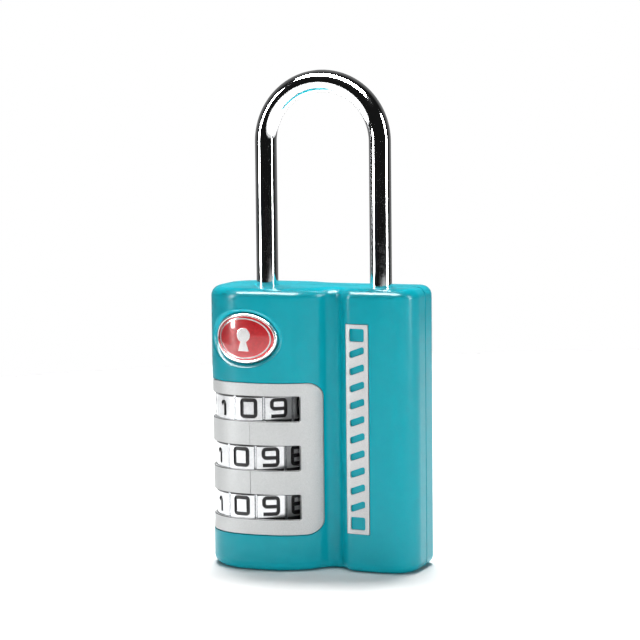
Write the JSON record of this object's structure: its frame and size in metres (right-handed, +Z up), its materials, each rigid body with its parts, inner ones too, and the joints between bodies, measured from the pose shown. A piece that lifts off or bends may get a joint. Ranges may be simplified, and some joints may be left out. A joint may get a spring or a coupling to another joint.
{
  "type": "combination luggage padlock",
  "caption": "Dial combination luggage padlock with a rigid U shackle, two-lobed satin body, wrapped silver fascia and a key override in the base.",
  "frame": {"origin": "middle of the body's base, on the face it stands on", "axes": "+Z up along the shackle's lift, -Y out of the front, dials on the -X side"},
  "size_m": [0.0302, 0.0152, 0.0683],
  "materials": {
    "shell_teal": "satin",
    "fascia_silver": "satin",
    "chrome": "polished",
    "badge_silver": "polished",
    "badge_red": "gloss enamel",
    "steel": "plain",
    "zinc": "as cast",
    "brass": "machined"
  },
  "bodies": {
    "housing": {"front_shell": "shell_teal", "back_shell": "shell_teal", "dial_fascia": "fascia_silver", "badge_bezel": "badge_silver", "badge_enamel": "badge_red", "side_inlay": "fascia_silver", "housing_rivet_1": "steel", "housing_rivet_2": "steel", "housing_rivet_3": "steel", "shackle_spring": "steel", "shackle_stop_pin": "steel", "leg_bush": "brass", "spring_seat": "zinc", "latch_guide": "zinc", "latch_spring": "steel", "locking_spindle": "steel", "upper_bearing": "zinc", "lower_bearing": "zinc", "divider_plate_1": "steel", "divider_plate_2": "steel", "detent_spring": "steel", "reset_spring": "steel", "cylinder_barrel": "brass"},
    "shackle": {"shackle": "chrome"},
    "latch": {"latch_bolt": "steel"},
    "dial_1": {"dial_wheel_1": "chrome"},
    "dial_2": {"dial_wheel_2": "chrome"},
    "dial_3": {"dial_wheel_3": "chrome"},
    "sleeve_1": {"dial_sleeve_1": "brass"},
    "sleeve_2": {"dial_sleeve_2": "brass"},
    "sleeve_3": {"dial_sleeve_3": "brass"},
    "reset": {"reset_button": "steel"},
    "plug": {"key_plug": "brass", "wafer_1": "brass", "wafer_2": "brass", "wafer_3": "brass", "wafer_4": "brass", "plug_cam": "steel", "cam_screw": "steel"},
    "release": {"release_slide": "steel"}
  },
  "joints": [
    {"name": "shackle_lift", "type": "slide", "parent": "housing", "child": "shackle", "axis": [0, 0, 1], "range_m": [0, 0.009], "deforming": ["shackle_spring"]},
    {"name": "latch_move", "type": "slide", "parent": "housing", "child": "latch", "axis": [1, 0, 0], "range_m": [0, 0.0036], "deforming": ["latch_spring"]},
    {"name": "dial_1_spin", "type": "hinge", "parent": "housing", "child": "dial_1", "pos_m": [-0.00795, -0.00036, 0.0224], "axis": [0, 0, 1], "continuous": true},
    {"name": "dial_2_spin", "type": "hinge", "parent": "housing", "child": "dial_2", "pos_m": [-0.00795, -0.00036, 0.01565], "axis": [0, 0, 1], "continuous": true},
    {"name": "dial_3_spin", "type": "hinge", "parent": "housing", "child": "dial_3", "pos_m": [-0.00795, -0.00036, 0.0089], "axis": [0, 0, 1], "continuous": true},
    {"name": "reset_press", "type": "slide", "parent": "housing", "child": "reset", "axis": [0, 0, 1], "range_m": [0, 0.0012], "stiffness_N_per_m": 300, "springref_m": -0.0005, "deforming": ["reset_spring"]},
    {"name": "sleeve_1_rise", "type": "slide", "parent": "dial_1", "child": "sleeve_1", "axis": [0, 0, 1], "range_m": [0, 0.0012]},
    {"name": "sleeve_2_rise", "type": "slide", "parent": "dial_2", "child": "sleeve_2", "axis": [0, 0, 1], "range_m": [0, 0.0012]},
    {"name": "sleeve_3_rise", "type": "slide", "parent": "dial_3", "child": "sleeve_3", "axis": [0, 0, 1], "range_m": [0, 0.0012]},
    {"name": "key_turn", "type": "hinge", "parent": "housing", "child": "plug", "pos_m": [0.0097, 0.0004, 0.006], "axis": [0, 0, -1], "range_deg": [0, 90]},
    {"name": "release_move", "type": "slide", "parent": "housing", "child": "release", "axis": [1, 0, 0], "range_m": [0, 0.0024]}
  ],
  "couplings": [
    {"joint": "latch_move", "follows": "shackle_lift", "ratio": 0.4},
    {"joint": "sleeve_1_rise", "follows": "reset_press", "ratio": 1},
    {"joint": "sleeve_2_rise", "follows": "reset_press", "ratio": 1},
    {"joint": "sleeve_3_rise", "follows": "reset_press", "ratio": 1},
    {"joint": "key_turn", "follows": "release_move", "rad_per_m": 653.4}
  ]
}
